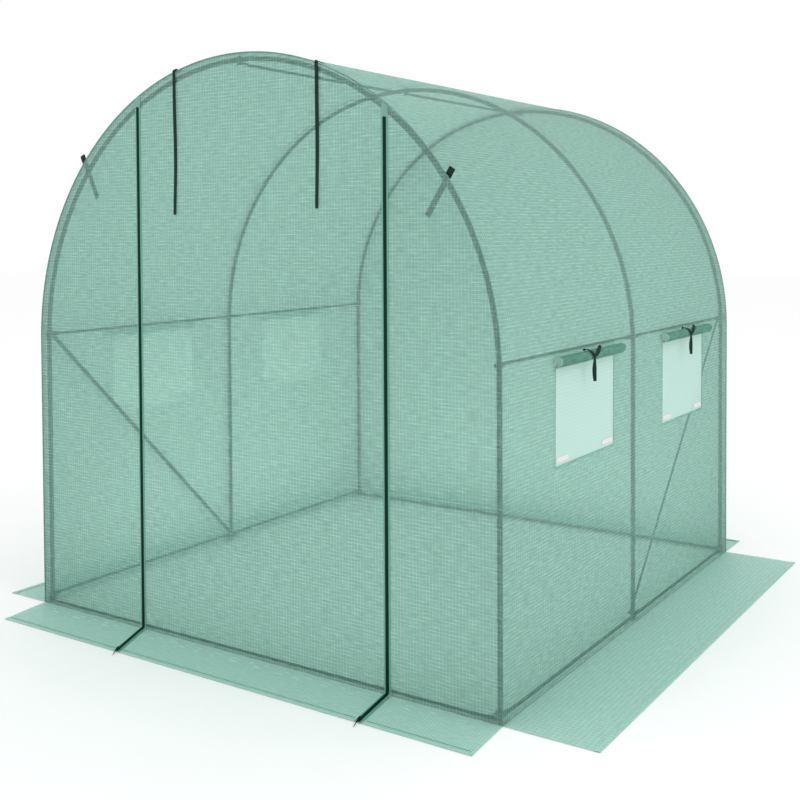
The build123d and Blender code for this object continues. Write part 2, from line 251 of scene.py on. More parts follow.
# Studio and the photograph's view.
FLOOR_STOPS = (-30.0, -4.0, -1.0, 1.0, 4.0, 30.0)
LAMP_AIM = (0.0, 0.0, 0.8)
LAMP_SIZE = 5.0
KEY_PLACE = (6.5, -1.0, 5.5)
KEY_POWER = 112.0
FILL_PLACE = (-2.5, -6.0, 5.0)
FILL_POWER = 50.0
INNER_PLACE = (-0.05, 0.0, 0.04)
INNER_AIM = (-0.05, 0.0, 2.0)
INNER_SIZE = 1.6
INNER_POWER = 14.5
CAMERA_PLACE = (2.4651, -3.7062, 1.4146)
CAMERA_TURN = 32.449
CAMERA_RISE = 1.554
CAMERA_ROLL = -0.245
CAMERA_LENS = 49.54
CAMERA_SENSOR = 36.0
CAMERA_SHIFT = (-0.05, -0.175)
CAMERA_FAR = 200.0
WORLD_WHITE = (1.0, 1.0, 1.0, 1.0)

# Colours of the sheets, as 0 to 255 values.
COVER_GREEN = (125, 166, 155)
# Lighter inner face of the cover and end walls: painted light making up for the dim inside.
COVER_INSIDE_PAINTED_LIGHT = (168, 206, 195)
COVER_THREAD = (190, 228, 217)
SKIRT_GREEN = (165, 208, 196)
SCREEN_INSIDE = (198, 232, 222)
SCREEN_PALE = (191, 220, 212)
ROLL_GREEN = (104, 168, 148)
# Roll ends painted much paler than the rolled sheet: painted light against the shade that falls on them.
ROLL_END_PAINTED_LIGHT_GREEN = (182, 216, 204)
SEAM_GREEN = (104, 152, 138)

# Solid materials: a dark and a pale colour, the pattern, its scale, roughness and metallic share.
SOLIDS = {
    "zip_tape": ((92, 160, 138), (108, 172, 152), "weave", 900.0, 0.7, 0.0),
    "tape_end": ((112, 154, 142), (122, 164, 152), "weave", 900.0, 0.7, 0.0),
    "zip_teeth": ((4, 24, 18), (10, 36, 29), "noise", 300.0, 0.6, 0.0),
    "strap_web": ((9, 30, 24), (22, 52, 44), "weave", 420.0, 0.8, 0.0),
    "patch_felt": ((214, 210, 210), (230, 226, 227), "noise", 500.0, 0.9, 0.0),
    # Pale thread colour: a painted glint on the raised skirt threads.
    "thread": ((196, 226, 217), (214, 236, 229), "noise", 400.0, 0.7, 0.0),
    "hem_thread": ((100, 134, 121), (118, 150, 138), "noise", 400.0, 0.7, 0.0),
    # Galvanised tubes painted near black-green: painted shade, with the cover's green tint painted in.
    "galvanised_tube_painted_shade": ((12, 38, 30), (30, 58, 49), "spangle", 120.0, 0.5, 0.4),
    "zinc_fasteners": ((22, 42, 36), (48, 72, 64), "noise", 200.0, 0.4, 0.7),
    "studio_floor": ((251, 251, 251), (255, 255, 255), "noise", 2.0, 0.9, 0.0),
}

# The display curve of the colours.
DISPLAY_FULL = 255
DISPLAY_KNEE = 0.04045
DISPLAY_SLOPE = 12.92
DISPLAY_LIFT = 0.055
DISPLAY_POWER = 2.4

# Sheets: colours outside, inside and of threads, then the shares that sheet_material names.
SHEETS = {
    "cover_sheet": (COVER_GREEN, COVER_INSIDE_PAINTED_LIGHT, COVER_THREAD, 0.42, 0.12, 0.2, 0.7, 0.155),
    "end_sheet": (COVER_GREEN, COVER_INSIDE_PAINTED_LIGHT, COVER_THREAD, 0.42, 0.12, 0.2, 0.7, 0.155),
    "skirt_sheet": (SKIRT_GREEN, SKIRT_GREEN, COVER_THREAD, 0.15, 0.15, 0.0, 0.6, 0.07),
    "side_skirt_sheet": (SKIRT_GREEN, SKIRT_GREEN, COVER_THREAD, 0.15, 0.15, 0.0, 0.8, 0.07),
    "rolled_sheet": (ROLL_GREEN, ROLL_GREEN, COVER_GREEN, 0.18, 0.18, 0.35, 0.4, 0.3),
    # Pale roll ends: painted light over the shaded ends of the rolls.
    "rolled_end_painted_light": (ROLL_END_PAINTED_LIGHT_GREEN, ROLL_END_PAINTED_LIGHT_GREEN, COVER_GREEN, 0.0, 0.0, 0.2, 0.4, 0.1),
    "screen_mesh": (SCREEN_PALE, SCREEN_INSIDE, SCREEN_PALE, 0.1, 0.1, 0.2, 0.3, 0.015),
    "seam_sheet": (SEAM_GREEN, SEAM_GREEN, COVER_THREAD, 0.3, 0.3, 0.2, 0.4, 0.1),
}
WEAVE_DISTORTION = 0.6
MOTTLE_DETAIL = 5.0
SOLID_SHINE = 0.2
SOLID_BUMP = {"Strength": 0.3, "Distance": 0.0003}

# Threads and unevenness of the sheets.
SHEET_ROUGHNESS = 0.5
SHEET_SHINE = 0.25
SHEET_BUMP = {"Strength": 0.25, "Distance": 0.0006}
STREAK_DETAIL = 2.0
thread_share = 0.11
thread_soft_share = 0.4
thread_dense_share = 0.08
clear_tint = (0.96, 0.985, 0.975, 1.0)
THREAD_PITCH = 0.0115
RIB_PITCH = 0.0165
STREAK_LONG = 24.0
STREAK_FINE = 220.0
rising_share = 0.45
streak_range = (0.54, 0.91)
MIX_FIRST = 6
MIX_SECOND = 7
MIX_RESULT = 2

SIDES = {"left": -1, "right": 1}
random.seed(7)


def linear(colour):
    """A scene-linear colour from 0 to 255 display values."""
    channels = []
    for value in colour:
        level = value / DISPLAY_FULL
        curved = ((level + DISPLAY_LIFT) / (1 + DISPLAY_LIFT)) ** DISPLAY_POWER
        channels.append(level / DISPLAY_SLOPE if level < DISPLAY_KNEE else curved)
    return (*channels, 1.0)


def node(tree, kind, inputs=None, **settings):
    """A new shader node with its settings and inputs set."""
    made = tree.nodes.new(kind)
    for name, value in settings.items():
        setattr(made, name, value)
    for key, value in (inputs or {}).items():
        made.inputs[key].default_value = value
    return made


def blank_material(name):
    """A node material with nothing in it but its output."""
    material = bpy.data.materials.new(name)
    material.use_nodes = True
    material.node_tree.nodes.clear()
    output = material.node_tree.nodes.new("ShaderNodeOutputMaterial")
    return material, material.node_tree, output


def thread_grid(tree, weave, pitch):
    """A square grid of threads over a sheet's own places."""
    cells = {"Scale": 1 / pitch, "Brick Width": 1.0, "Row Height": 1.0}
    threads = {"Mortar Size": thread_share, "Mortar Smooth": thread_soft_share}
    grid = node(tree, "ShaderNodeTexBrick", {**cells, **threads}, offset=0.0)
    tree.links.new(weave.outputs["UV"], grid.inputs["Vector"])
    return grid


def streak_noise(tree, weave, along, across):
    """Short uneven streaks of thread, longer one way than the other."""
    stretch = node(tree, "ShaderNodeMapping", {"Scale": (along, across, 1.0)})
    tree.links.new(weave.outputs["UV"], stretch.inputs["Vector"])
    pattern = node(tree, "ShaderNodeTexNoise", {"Scale": 1.0, "Detail": STREAK_DETAIL})
    tree.links.new(stretch.outputs["Vector"], pattern.inputs["Vector"])
    return pattern


def sheet_material(name, pitch):
    """Woven sheet with uneven threads, part clear and part translucent, with a second colour on its
    inner face; on the cover and end walls that lighter inner colour is painted light.
    """
    outside, inside, thread, *shares = SHEETS[name]
    clear_share, inner_share, glow_share, seen_share, depth_share = shares
    material, tree, output = blank_material(name)
    link = tree.links.new
    weave = node(tree, "ShaderNodeUVMap", uv_map="weave")
    facing = node(tree, "ShaderNodeNewGeometry")
    threads = thread_grid(tree, weave, pitch)
    lying = streak_noise(tree, weave, STREAK_LONG, STREAK_FINE)
    rising = streak_noise(tree, weave, STREAK_FINE, STREAK_LONG)
    both = node(tree, "ShaderNodeMath", {1: rising_share}, operation="MULTIPLY_ADD")
    link(rising.outputs["Fac"], both.inputs[0])
    link(lying.outputs["Fac"], both.inputs[2])
    streak = node(tree, "ShaderNodeMapRange", {"From Min": streak_range[0], "From Max": streak_range[1]})
    link(both.outputs["Value"], streak.inputs["Value"])
    # Back faces take the inner colour; on the cover and end walls it is painted light.
    faces = node(tree, "ShaderNodeMix", data_type="RGBA")
    faces.inputs[MIX_FIRST].default_value = linear(outside)
    faces.inputs[MIX_SECOND].default_value = linear(inside)
    link(facing.outputs["Backfacing"], faces.inputs["Factor"])
    level = node(tree, "ShaderNodeMapRange", {"To Min": 1.0 - depth_share, "To Max": 1.0 + depth_share})
    link(streak.outputs["Result"], level.inputs["Value"])
    uneven = node(tree, "ShaderNodeVectorMath", operation="SCALE")
    link(faces.outputs[MIX_RESULT], uneven.inputs[0])
    link(level.outputs["Result"], uneven.inputs["Scale"])
    seen = node(tree, "ShaderNodeMapRange", {"To Max": seen_share})
    link(streak.outputs["Result"], seen.inputs["Value"])
    mask = node(tree, "ShaderNodeMath", operation="MULTIPLY")
    link(threads.outputs["Fac"], mask.inputs[0])
    link(seen.outputs["Result"], mask.inputs[1])
    tint = node(tree, "ShaderNodeMix", data_type="RGBA")
    tint.inputs[MIX_SECOND].default_value = linear(thread)
    link(mask.outputs["Value"], tint.inputs["Factor"])
    link(uneven.outputs["Vector"], tint.inputs[MIX_FIRST])
    bump = node(tree, "ShaderNodeBump", SHEET_BUMP)
    link(threads.outputs["Fac"], bump.inputs["Height"])
    finish = {"Roughness": SHEET_ROUGHNESS, "Specular IOR Level": SHEET_SHINE}
    face = node(tree, "ShaderNodeBsdfPrincipled", finish)
    link(tint.outputs[MIX_RESULT], face.inputs["Base Color"])
    link(bump.outputs["Normal"], face.inputs["Normal"])
    through = node(tree, "ShaderNodeBsdfTranslucent")
    link(tint.outputs[MIX_RESULT], through.inputs["Color"])
    body = node(tree, "ShaderNodeMixShader", {"Fac": glow_share})
    link(face.outputs["BSDF"], body.inputs[1])
    link(through.outputs["BSDF"], body.inputs[2])
    clear = node(tree, "ShaderNodeBsdfTransparent", {"Color": clear_tint})
    denser = {1: clear_share - inner_share, 2: 1.0 - clear_share}
    dense = node(tree, "ShaderNodeMath", denser, operation="MULTIPLY_ADD")
    link(facing.outputs["Backfacing"], dense.inputs[0])
    solid = node(tree, "ShaderNodeMath", {1: thread_dense_share}, operation="MULTIPLY_ADD")
    link(threads.outputs["Fac"], solid.inputs[0])
    link(dense.outputs["Value"], solid.inputs[2])
    mixed = node(tree, "ShaderNodeMixShader")
    link(solid.outputs["Value"], mixed.inputs["Fac"])
    link(clear.outputs["BSDF"], mixed.inputs[1])
    link(body.outputs["Shader"], mixed.inputs[2])
    link(mixed.outputs["Shader"], output.inputs["Surface"])
    return material


def solid_material(name):
    """An opaque material with a mottled, spangled or woven colour and a fine bump."""
    dark, pale, kind, scale, roughness, metallic_share = SOLIDS[name]
    material, tree, output = blank_material(name)
    link = tree.links.new
    place = node(tree, "ShaderNodeTexCoord")
    if kind == "spangle":
        pattern = node(tree, "ShaderNodeTexVoronoi", {"Scale": scale})
        value = pattern.outputs["Color"]
    elif kind == "weave":
        bands = {"Scale": scale, "Distortion": WEAVE_DISTORTION}
        pattern = node(tree, "ShaderNodeTexWave", bands, bands_direction="DIAGONAL")
        value = pattern.outputs["Fac"]
    else:
        pattern = node(tree, "ShaderNodeTexNoise", {"Scale": scale, "Detail": MOTTLE_DETAIL})
        value = pattern.outputs["Fac"]
    link(place.outputs["Object"], pattern.inputs["Vector"])
    ramp = node(tree, "ShaderNodeValToRGB")
    ramp.color_ramp.elements[0].color = linear(dark)
    ramp.color_ramp.elements[1].color = linear(pale)
    link(value, ramp.inputs["Fac"])
    bump = node(tree, "ShaderNodeBump", SOLID_BUMP)
    link(value, bump.inputs["Height"])
    face = node(tree, "ShaderNodeBsdfPrincipled", {"Roughness": roughness, "Metallic": metallic_share})
    face.inputs["Specular IOR Level"].default_value = SOLID_SHINE
    link(ramp.outputs["Color"], face.inputs["Base Color"])
    link(bump.outputs["Normal"], face.inputs["Normal"])
    link(face.outputs["BSDF"], output.inputs["Surface"])
    return material


class Shape:
    """Points and faces gathered for one piece, with a material index and sheet places."""

    def __init__(self):
        self.points = []
        self.faces = []
        self.coats = []
        self.weave = []

    def add(self, points, faces, coat=0, weave=None):
        base = len(self.points)
        self.points.extend(Vector(point) for point in points)
        self.faces.extend([base + corner for corner in face] for face in faces)
        self.coats.extend([coat] * len(faces))
        self.weave.extend(weave or [(point[0] + point[1], point[2]) for point in points])

    def piece(self, name, materials, replaced=(), smooth=True):
        mesh = bpy.data.meshes.new(name)
        mesh.from_pydata(self.points, [], self.faces)
        layer = mesh.uv_layers.new(name="weave")
        for loop in mesh.loops:
            layer.data[loop.index].uv = self.weave[loop.vertex_index]
        for material in materials:
            mesh.materials.append(material)
        mesh.polygons.foreach_set("material_index", self.coats)
        mesh.polygons.foreach_set("use_smooth", [smooth] * len(self.faces))
        mesh.update()
        made = bpy.data.objects.new(name, mesh)
        bpy.context.collection.objects.link(made)
        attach(made, "root")
        if replaced:
            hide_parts(*replaced)
        return made


def grid_faces(rows, columns, flip=False, kept=None):
    """Quads of a grid of points given row by row, turned over if flipped."""
    faces = []
    for row in range(rows - 1):
        for column in range(columns - 1):
            if kept and not kept(row, column):
                continue
            corner = row * columns + column
            face = (corner, corner + 1, corner + columns + 1, corner + columns)
            faces.append(face[::-1] if flip else face)
    return faces


def ring_faces(rings, sides):
    """Side faces between rings of points, and both end faces."""
    last = (rings - 1) * sides
    faces = [tuple(range(sides)), tuple(reversed(range(last, last + sides)))]
    for ring in range(rings - 1):
        for turn in range(sides):
            here = ring * sides + turn
            after = ring * sides + (turn + 1) % sides
            faces.append((here, here + sides, after + sides, after))
    return faces


def spaced(stops, step):
    """Values from the first stop to the last, through every stop, about a step apart."""
    values = []
    for start, end in zip(stops, stops[1:]):
        count = max(1, round((end - start) / step))
        values.extend(start + (end - start) * index / count for index in range(count))
    return values + [stops[-1]]


def run_at(path, index):
    """The direction of a path at one of its points."""
    return (path[min(index + 1, len(path) - 1)] - path[max(index - 1, 0)]).normalized()


def ribbon(shape, path, across, widths, thick, coat=0):
    """A flat strap along a path; across and widths are one value or one for each point."""
    path = [Vector(point) for point in path]
    points = []
    for index, place in enumerate(path):
        side = Vector(across[index] if isinstance(across, list) else across).normalized()
        wide = widths[index] if isinstance(widths, list) else widths
        out = run_at(path, index).cross(side).normalized() * thick / 2
        half = side * wide / 2
        points += [place - half - out, place + half - out, place + half + out, place - half + out]
    shape.add(points, ring_faces(len(path), 4), coat)


def sweep(shape, path, radii, sides=6, coat=0):
    """A round bar along a path with a radius at each point and closed ends."""
    path = [Vector(point) for point in path]
    points = []
    for index, place in enumerate(path):
        run = run_at(path, index)
        first = run.orthogonal().normalized()
        second = run.cross(first)
        for turn in range(sides):
            angle = 2 * math.pi * turn / sides
            points.append(place + (first * math.cos(angle) + second * math.sin(angle)) * radii[index])
    shape.add(points, ring_faces(len(path), sides), coat)


def lathe(shape, profile, sides, seat, coat=0):
    """A closed turned body from (radius, height) pairs, set by a matrix."""
    points = []
    for radius, height in profile:
        for turn in range(sides):
            angle = 2 * math.pi * turn / sides
            points.append(seat @ Vector((radius * math.cos(angle), radius * math.sin(angle), height)))
    faces = [face[::-1] for face in ring_faces(len(profile), sides)]
    shape.add(points, faces, coat)


def prism(shape, outline, thick, seat, coat=0):
    """A flat plate from an outline in the seat's plane, thick either side of it."""
    points = [seat @ Vector((x, y, way * thick / 2)) for way in (-1, 1) for x, y in outline]
    faces = [face[::-1] for face in ring_faces(2, len(outline))]
    shape.add(points, faces, coat)


def arch_height(x, radius):
    """Height of the arch over a place across the tunnel."""
    return SPRING_Z + math.sqrt(max(0.0, radius**2 - (x - CENTRE_X) ** 2))


def crease(point, depth):
    """A small soft unevenness of sheet at a point."""
    coarse = noise.noise(Vector(point) * CREASE_SCALE)
    return depth * (coarse + fine_crease_share * noise.noise(Vector(point) * FINE_CREASE_SCALE))


def over_the_tunnel(run):
    """Place and outward direction at a length along the cover's section, from the left ground."""
    if run < SPRING_Z:
        return CENTRE_X - SHEET_RADIUS, run, -1.0, 0.0
    if run > COVER_RUN - SPRING_Z:
        return CENTRE_X + SHEET_RADIUS, COVER_RUN - run, 1.0, 0.0
    angle = math.pi - (run - SPRING_Z) / SHEET_RADIUS
    out_x, out_z = math.cos(angle), math.sin(angle)
    return CENTRE_X + SHEET_RADIUS * out_x, SPRING_Z + SHEET_RADIUS * out_z, out_x, out_z


def between(value, stops):
    """A rise and fall from 0 to 1 to 0 between the stops that hold the sheet."""
    for start, end in zip(stops, stops[1:]):
        if start <= value <= end:
            return math.sin(math.pi * (value - start) / (end - start)) ** 2
    return 0.0


def cover_shift(x, y, z, run):
    """How far the cover stands off its true section at a place, slack between the tubes."""
    shoulder = SPRING_Z + PURLIN_TILT
    holds = [0.0, shoulder, COVER_RUN / 2, COVER_RUN - shoulder, COVER_RUN]
    return between(y, HOOP_YS) * between(run, holds) * (crease((x, y, z), CREASE) - SAG)


def screen_x(side, y, z):
    """Where a window screen lies, just behind the cover."""
    wall_x = CENTRE_X + side * SHEET_RADIUS
    run = z if side < 0 else COVER_RUN - z
    return wall_x + side * (cover_shift(wall_x, y, z, run) - SCREEN_BEHIND)


def make_cover(material):
    """Roof and both side walls as one sheet from ground to ground, with the window cut-outs."""
    half = WINDOW_WIDTH / 2
    cut_runs = ((WINDOW_LOW, WINDOW_HIGH), (COVER_RUN - WINDOW_HIGH, COVER_RUN - WINDOW_LOW))
    run_stops = [0.0, WINDOW_LOW, WINDOW_HIGH, SPRING_Z, COVER_RUN - SPRING_Z]
    run_stops += [COVER_RUN - WINDOW_HIGH, COVER_RUN - WINDOW_LOW, COVER_RUN]
    y_stops = [FRONT_Y] + [y + way * half for y in WINDOW_YS for way in (-1, 1)] + [REAR_Y]
    runs = spaced(run_stops, SHEET_STEP)
    ys = spaced(y_stops, SHEET_STEP)
    points = []
    places = []
    for run in runs:
        x, z, out_x, out_z = over_the_tunnel(run)
        for y in ys:
            shift = cover_shift(x, y, z, run)
            points.append((x + out_x * shift, y, z + out_z * shift))
            places.append((y, run))

    def kept(row, column):
        run = (runs[row] + runs[row + 1]) / 2
        y = (ys[column] + ys[column + 1]) / 2
        in_run = any(low < run < high for low, high in cut_runs)
        return not (in_run and any(abs(y - centre) < half for centre in WINDOW_YS))

    shape = Shape()
    shape.add(points, grid_faces(len(runs), len(ys), True, kept), 0, places)
    cover = shape.piece("cover", [material], ("roof_cover", "left_wall", "right_wall"))


def make_end(name, replaced, x_from, x_to, face_y, way, material):
    """A strip of an end wall under the arch, a little slack in the middle."""
    turn_from = math.acos(max(-1.0, (x_from - CENTRE_X) / END_RADIUS))
    turn_to = math.acos(min(1.0, (x_to - CENTRE_X) / END_RADIUS))
    columns = max(END_COLUMNS, round(abs(turn_from - turn_to) * END_RADIUS / SHEET_STEP))
    points = []
    places = []
    for row in range(END_ROWS + 1):
        for column in range(columns + 1):
            x = CENTRE_X + END_RADIUS * math.cos(turn_from + (turn_to - turn_from) * column / columns)
            z = arch_height(x, END_RADIUS) * row / END_ROWS
            slack = math.sin(math.pi * column / columns) * math.sin(math.pi * row / END_ROWS)
            points.append((x, face_y + way * slack * crease((x, face_y, z), END_CREASE), z))
            places.append((x, z))
    shape = Shape()
    shape.add(points, grid_faces(END_ROWS + 1, columns + 1, way < 0), 0, places)
    panel = shape.piece(name, [material], (replaced,))


def make_skirt(name, replaced, strips, inner, outer, along, material):
    """A ground skirt with a hem folded back over its outer edge; strips are spans and their drifts."""
    way = 1 if outer > inner else -1
    reach = abs(outer - inner)
    depths = [(reach - HEM) * row / SKIRT_ROWS for row in range(SKIRT_ROWS + 1)]
    depths += [reach - HEM / 2, reach]
    folded = [(depth, 0.0) for depth in depths]
    folded += [(reach - turned, HEM_RISE) for turned in (HEM_TURN, HEM / 2, HEM)]
    flip = way < 0 if along == "x" else way > 0
    shape = Shape()
    for start, end, start_drift, end_drift in strips:
        steps = spaced([start, end], SKIRT_STEP)
        points = []
        places = []
        for depth, rise in folded:
            for step in steps:
                share = (step - start) / (end - start)
                drift = (start_drift + (end_drift - start_drift) * share) * depth / reach
                spot = Vector((step * RIPPLE_SCALES[0], depth * RIPPLE_SCALES[1], inner))
                swell = math.sin(math.pi * min(1.0, depth / reach))
                z = SKIRT_Z + rise + SKIRT_RIPPLE * (1 + noise.noise(spot)) * swell
                flat = inner + way * depth
                points.append((step + drift, flat, z) if along == "x" else (flat, step, z))
                places.append((step, depth if not rise else 2 * reach - depth))
        shape.add(points, grid_faces(len(folded), len(steps), flip), 0, places)
    skirt = shape.piece(name, [material], (replaced,))


def make_screens(name, replaced, side, material):
    """Insect screens lapped behind the window openings of one side."""
    shape = Shape()
    high = WINDOW_HIGH + SCREEN_LAP
    low = WINDOW_LOW - SCREEN_LAP
    half = WINDOW_WIDTH / 2 + SCREEN_LAP
    for centre in WINDOW_YS:
        ys = spaced([centre - half, centre + half], SHEET_STEP)
        zs = spaced([low, high], SHEET_STEP)
        points = []
        places = []
        for z in zs:
            for y in ys:
                slack = between(y, [ys[0], ys[-1]]) * between(z, [low, high])
                points.append((screen_x(side, y, z) - side * SCREEN_SAG * slack, y, z))
                places.append((y, z))
        shape.add(points, grid_faces(len(zs), len(ys), side < 0), 0, places)
    screens = shape.piece(name, [material], (replaced,))


def roll_size(y, centre):
    """How full a rolled flap is at a place along it: drawn in by its tie, rounded at its ends."""
    waist = roll_waist_share * math.exp(-(((y - centre - ROLL_TIE_SHIFT) / ROLL_WAIST) ** 2))
    edge = ROLL_LENGTH / 2 - abs(y - centre)
    rounded = roll_end_share * max(0.0, 1 - edge / ROLL_END) ** 2
    return (1 - waist) * (1 - rounded)


def roll_cap(shape, side, centre, way):
    """The end of a roll, where the wound turns show as a fine spiral; its pale colour is painted light
    against the shade at the ends.
    """
    end_y = centre + way * (ROLL_LENGTH / 2 + CAP_PROUD)
    full = ROLL_RADIUS * (1 - roll_end_share)
    points = []
    for ring in range(CAP_RINGS * 2 + 1):
        radius = full * ring / (CAP_RINGS * 2)
        for sector in range(CAP_SECTORS + 1):
            angle = 2 * math.pi * sector / CAP_SECTORS
            wound = math.sin(math.pi * ring + angle)
            x = CENTRE_X + side * (ROLL_OUT + radius * math.cos(angle))
            z = ROLL_Z + radius * math.sin(angle)
            points.append((x, end_y - way * CAP_GROOVE * (1 + wound), z))
    places = [(point[0], point[2]) for point in points]
    shape.add(points, grid_faces(CAP_RINGS * 2 + 1, CAP_SECTORS + 1, way * side > 0), 1, places)


def make_rolls(name, replaced, side, materials):
    """Window flaps rolled up as spirals under their top seams, drawn in where the tie holds them."""
    shape = Shape()
    turns = round(ROLL_TURNS * ROLL_STEPS)
    section = [(math.pi, ROLL_HANG * step / HANG_STEPS) for step in range(HANG_STEPS, 0, -1)]
    section += [(math.pi + 2 * math.pi * step / ROLL_STEPS, 0.0) for step in range(turns + 1)]
    for centre in WINDOW_YS:
        half = ROLL_LENGTH / 2
        stops = [centre - half, centre - ROLL_WAIST, centre + ROLL_WAIST, centre + half]
        ys = spaced(stops, ROLL_SLICE)
        points = []
        places = []
        length = 0.0
        before = None
        for angle, lift in section:
            wound = (angle - math.pi) / (2 * math.pi * ROLL_TURNS)
            radius = ROLL_RADIUS - (ROLL_RADIUS - ROLL_CORE) * wound
            here = Vector((radius * math.cos(angle), radius * math.sin(angle) + lift))
            length += (here - before).length if before else 0.0
            before = here
            for y in ys:
                spot = Vector((y * ROLL_UNEVEN_SCALE, math.cos(angle), math.sin(angle) + side))
                uneven = 1 + roll_uneven_share * min(0.0, noise.noise(spot))
                grown = radius if lift else radius * roll_size(y, centre) * uneven
                x = CENTRE_X + side * (ROLL_OUT + grown * math.cos(angle))
                points.append((x, y, ROLL_Z + grown * math.sin(angle) + lift))
                places.append((y, length))
        shape.add(points, grid_faces(len(section), len(ys), side > 0), 0, places)
        for way in (-1, 1):
            roll_cap(shape, side, centre, way)
    rolls = shape.piece(name, materials, (replaced,))


def make_patches(material):
    """Pale fastening patches on the screens in the windows' lower corners."""
    shape = Shape()
    outline = []
    for step in range(PATCH_POINTS):
        angle = 2 * math.pi * step / PATCH_POINTS
        across = math.copysign(abs(math.cos(angle)) ** patch_round_share, math.cos(angle))
        up = math.copysign(abs(math.sin(angle)) ** patch_round_share, math.sin(angle))
        outline.append((PATCH_WIDTH / 2 * across, PATCH_HEIGHT / 2 * up))
    turn = Matrix(((0, 0, 1), (1, 0, 0), (0, 1, 0))).to_4x4()
    out = (WINDOW_WIDTH - PATCH_WIDTH) / 2 - PATCH_SIDE_GAP
    z = WINDOW_LOW + PATCH_LOW_GAP + PATCH_HEIGHT / 2
    for side in SIDES.values():
        for centre in WINDOW_YS:
            for way in (-1, 1):
                y = centre + way * out
                place = (screen_x(side, y, z) + side * PATCH_THICKNESS, y, z)
                prism(shape, outline, PATCH_THICKNESS, Matrix.Translation(place) @ turn)
    shape.piece("window_patches", [material], smooth=False)


def zip_path(x, drift, top, lift):
    """The line of a zip down the wall, round the bend and over the skirt, lifted off its face."""
    face_y = ZIP_FACE_Y - lift
    floor_z = ZIP_FLOOR_Z + lift
    edge_y = FRONT_Y - END_SKIRT
    path = [Vector((x, face_y, z)) for z in spaced([floor_z + ZIP_BEND, top], ZIP_STEP)][::-1]
    for step in range(1, ZIP_BEND_STEPS + 1):
        angle = math.pi / 2 * step / ZIP_BEND_STEPS
        y = face_y - ZIP_BEND * (1 - math.cos(angle))
        path.append(Vector((x, y, floor_z + ZIP_BEND * (1 - math.sin(angle)))))
    start_y = face_y - ZIP_BEND
    for y in spaced([edge_y, start_y], ZIP_STEP)[-2::-1]:
        path.append(Vector((x + drift * (start_y - y) / (start_y - edge_y), y, floor_z)))
    return path


def make_zip(name, replaced, x, drift, materials):
    """A zip: tape, a dark coil with two rows of teeth over wall and skirt, a slider and its pull."""
    shape = Shape()
    tape_x = abs(x - CENTRE_X) + ZIP_TAPE / 2
    coil_top = arch_height(CENTRE_X + tape_x, HOOP_INSIDE)
    across = Vector((1, 0, 0))
    edges = (x - ZIP_TAPE / 2, x + ZIP_TAPE / 2)
    above = [(edge, coil_top) for edge in edges]
    above += [(edge, arch_height(edge, END_RADIUS)) for edge in reversed(edges)]
    upright = Matrix.Translation((0, ZIP_FACE_Y, 0)) @ Matrix.Rotation(math.pi / 2, 4, "X")
    prism(shape, above, ZIP_TAPE_THICK, upright, 2)
    ribbon(shape, zip_path(x, drift, coil_top, 0.0), across, ZIP_TAPE, ZIP_TAPE_THICK, 0)
    coil_lift = (ZIP_TAPE_THICK + ZIP_COIL_THICK) / 2
    ribbon(shape, zip_path(x, drift, coil_top, coil_lift), across, ZIP_COIL, ZIP_COIL_THICK, 1)
    path = zip_path(x, drift, coil_top, coil_lift + ZIP_COIL_THICK / 2)
    outline = [(-TOOTH_WIDTH / 2, -TOOTH_LENGTH / 2), (TOOTH_WIDTH / 2, -TOOTH_LENGTH / 2)]
    outline += [(TOOTH_WIDTH / 2, TOOTH_LENGTH / 2), (-TOOTH_WIDTH / 2, TOOTH_LENGTH / 2)]
    tooth = 0
    spare = 0.0
    for start, end in zip(path, path[1:]):
        length = (end - start).length
        way = (end - start).normalized()
        out = way.cross(across).normalized()
        seat = Matrix((across, out.cross(across), out)).transposed().to_4x4()
        while spare < length:
            shift = TOOTH_OFFSET if tooth % 2 else -TOOTH_OFFSET
            centre = start + way * spare + across * shift + out * TOOTH_HEIGHT / 2
            prism(shape, outline, TOOTH_HEIGHT, Matrix.Translation(centre) @ seat, 1)
            spare += TOOTH_PITCH
            tooth += 1
        spare -= length
    run = (path[-1] - path[-2]).normalized()
    slider = path[-1] - run * SLIDER_BACK + Vector((0, 0, SLIDER_RISE))
    seat = Matrix((Vector((run.y, -run.x, 0)), run, Vector((0, 0, 1)))).transposed().to_4x4()
    half_wide = SLIDER_WIDTH / 2
    half_long = SLIDER_LENGTH / 2
    neck = half_wide * slider_neck_share
    waist = half_long * slider_waist_share
    body = [(-half_wide, -waist), (-neck, -half_long), (neck, -half_long)]
    body += [(half_wide, -waist), (neck, half_long), (-neck, half_long)]
    prism(shape, body, SLIDER_HEIGHT, Matrix.Translation(slider) @ seat, 1)
    high = slider + Vector((0, 0, SLIDER_HEIGHT / 2 + PULL_RADIUS / 2))
    low = path[-1] + run * ZIP_TAIL
    low.z = PULL_RADIUS
    pull = [high.lerp(low, share) for share, _ in pull_shares]
    sweep(shape, pull, [PULL_RADIUS * share for _, share in pull_shares], PULL_SIDES, 1)
    shape.piece(name, materials, (replaced,), smooth=False)


def make_door_ties(material):
    """Two long ties that come over the front edge of the roof and hang before the door."""
    shape = Shape()
    for x, length in DOOR_TIES:
        top = arch_height(x, OUTER_RADIUS)
        slope = Vector((1, 0, -(x - CENTRE_X) / (top - SPRING_Z)))
        path = [(x, FRONT_Y + back, top + rise) for back, rise in DOOR_TIE_FOLD]
        across = [slope] * 3 + [slope + Vector((1, 0, 0))] * 2
        for step in range(1, DOOR_TIE_STEPS + 1):
            share = step / DOOR_TIE_STEPS
            sway = DOOR_TIE_SWAY * math.sin(SWAY_TURN * share + x)
            stand = DOOR_TIE_STAND + DOOR_TIE_SWAY * math.sin(STAND_TURN * share)
            path.append((x + sway, FRONT_Y - stand, top - length * share))
            across.append(Vector((1, tie_twist_share * math.sin(TWIST_TURN * share + x), 0)))
        ribbon(shape, path, across, DOOR_TIE_WIDTH, STRAP)
    ties = shape.piece("door_straps", [material], ("door_ties",), smooth=False)


